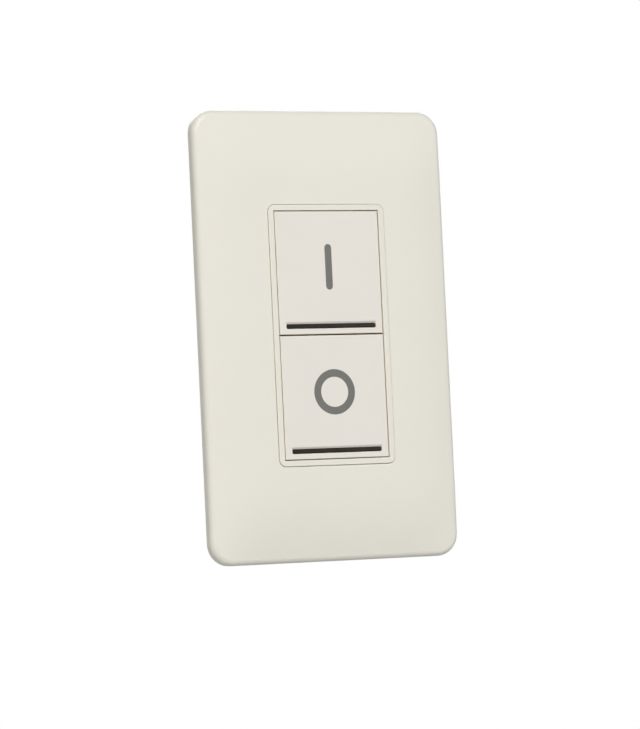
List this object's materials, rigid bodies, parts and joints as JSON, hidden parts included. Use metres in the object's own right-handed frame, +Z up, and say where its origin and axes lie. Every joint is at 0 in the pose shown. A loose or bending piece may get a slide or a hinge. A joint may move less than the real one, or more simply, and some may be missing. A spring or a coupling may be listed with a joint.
{
  "type": "lighting control keypad",
  "caption": "Wall-mounted lighting keypad with on and off buttons, each with a light bar, in a clip-on screwless plate, with a housing and plug-in terminals behind.",
  "frame": {"origin": "centre of the plate on the wall plane, midway between the two box screws", "axes": "+Z up, +Y into the wall box, +X to the right as seen from the front"},
  "size_m": [0.0698, 0.0314, 0.1142],
  "materials": {
    "plate_plastic": "smooth satin, light almond",
    "key_plastic": "smooth satin, light almond",
    "symbol_ink": "flat grey fill",
    "smoked_lens": "polished dark smoke",
    "zinc_steel": "zinc plated, rolled",
    "black_plastic": "fine moulded texture",
    "grey_plastic": "fine moulded texture",
    "board_green": "solder mask over copper tracks",
    "tin_plate": "tin plated strip",
    "can_aluminium": "drawn can",
    "terminal_green": "moulded",
    "pin_brass": "bright",
    "ferrite": "pressed, dull",
    "led_white": "clear over yellow"
  },
  "bodies": {
    "base": {"wall_plate": "plate_plastic", "sub_plate": "grey_plastic", "sub_plate_screws": "zinc_steel", "yoke": "zinc_steel", "bezel": "plate_plastic", "on_switch_base": "black_plastic", "off_switch_base": "black_plastic", "on_switch_cover": "tin_plate", "off_switch_cover": "tin_plate", "switch_terminals": "tin_plate", "status_leds": "led_white", "circuit_board": "board_green", "board_screws": "zinc_steel", "microcontroller": "black_plastic", "bus_transceiver": "black_plastic", "voltage_regulator": "black_plastic", "filter_capacitor": "can_aluminium", "clock_crystal": "tin_plate", "power_inductor": "ferrite", "terminal_header": "terminal_green", "terminal_pins": "pin_brass", "terminal_plug": "terminal_green", "terminal_screws": "zinc_steel", "rear_housing": "black_plastic", "housing_screws": "zinc_steel"},
    "on_key": {"on_button": "key_plastic", "on_symbol": "symbol_ink", "on_light_bar": "smoked_lens"},
    "off_key": {"off_button": "key_plastic", "off_symbol": "symbol_ink", "off_light_bar": "smoked_lens"},
    "on_stem": {"on_switch_plunger": "black_plastic"},
    "off_stem": {"off_switch_plunger": "black_plastic"}
  },
  "joints": [
    {"name": "on_key_press", "type": "hinge", "parent": "base", "child": "on_key", "pos_m": [0, -0.0023, 0.0294], "axis": [1, 0, 0], "range_deg": [0, 1.6], "stiffness_Nm_per_rad": 1.2},
    {"name": "off_key_press", "type": "hinge", "parent": "base", "child": "off_key", "pos_m": [0, -0.0023, -0.00207], "axis": [1, 0, 0], "range_deg": [0, 1.6], "stiffness_Nm_per_rad": 1.2},
    {"name": "on_plunger_slide", "type": "slide", "parent": "base", "child": "on_stem", "axis": [0, 1, 0], "range_m": [0, 0.0005]},
    {"name": "off_plunger_slide", "type": "slide", "parent": "base", "child": "off_stem", "axis": [0, 1, 0], "range_m": [0, 0.0005]}
  ],
  "couplings": [
    {"joint": "on_plunger_slide", "follows": "on_key_press", "m_per_rad": 0.0173},
    {"joint": "off_plunger_slide", "follows": "off_key_press", "m_per_rad": 0.0173}
  ]
}
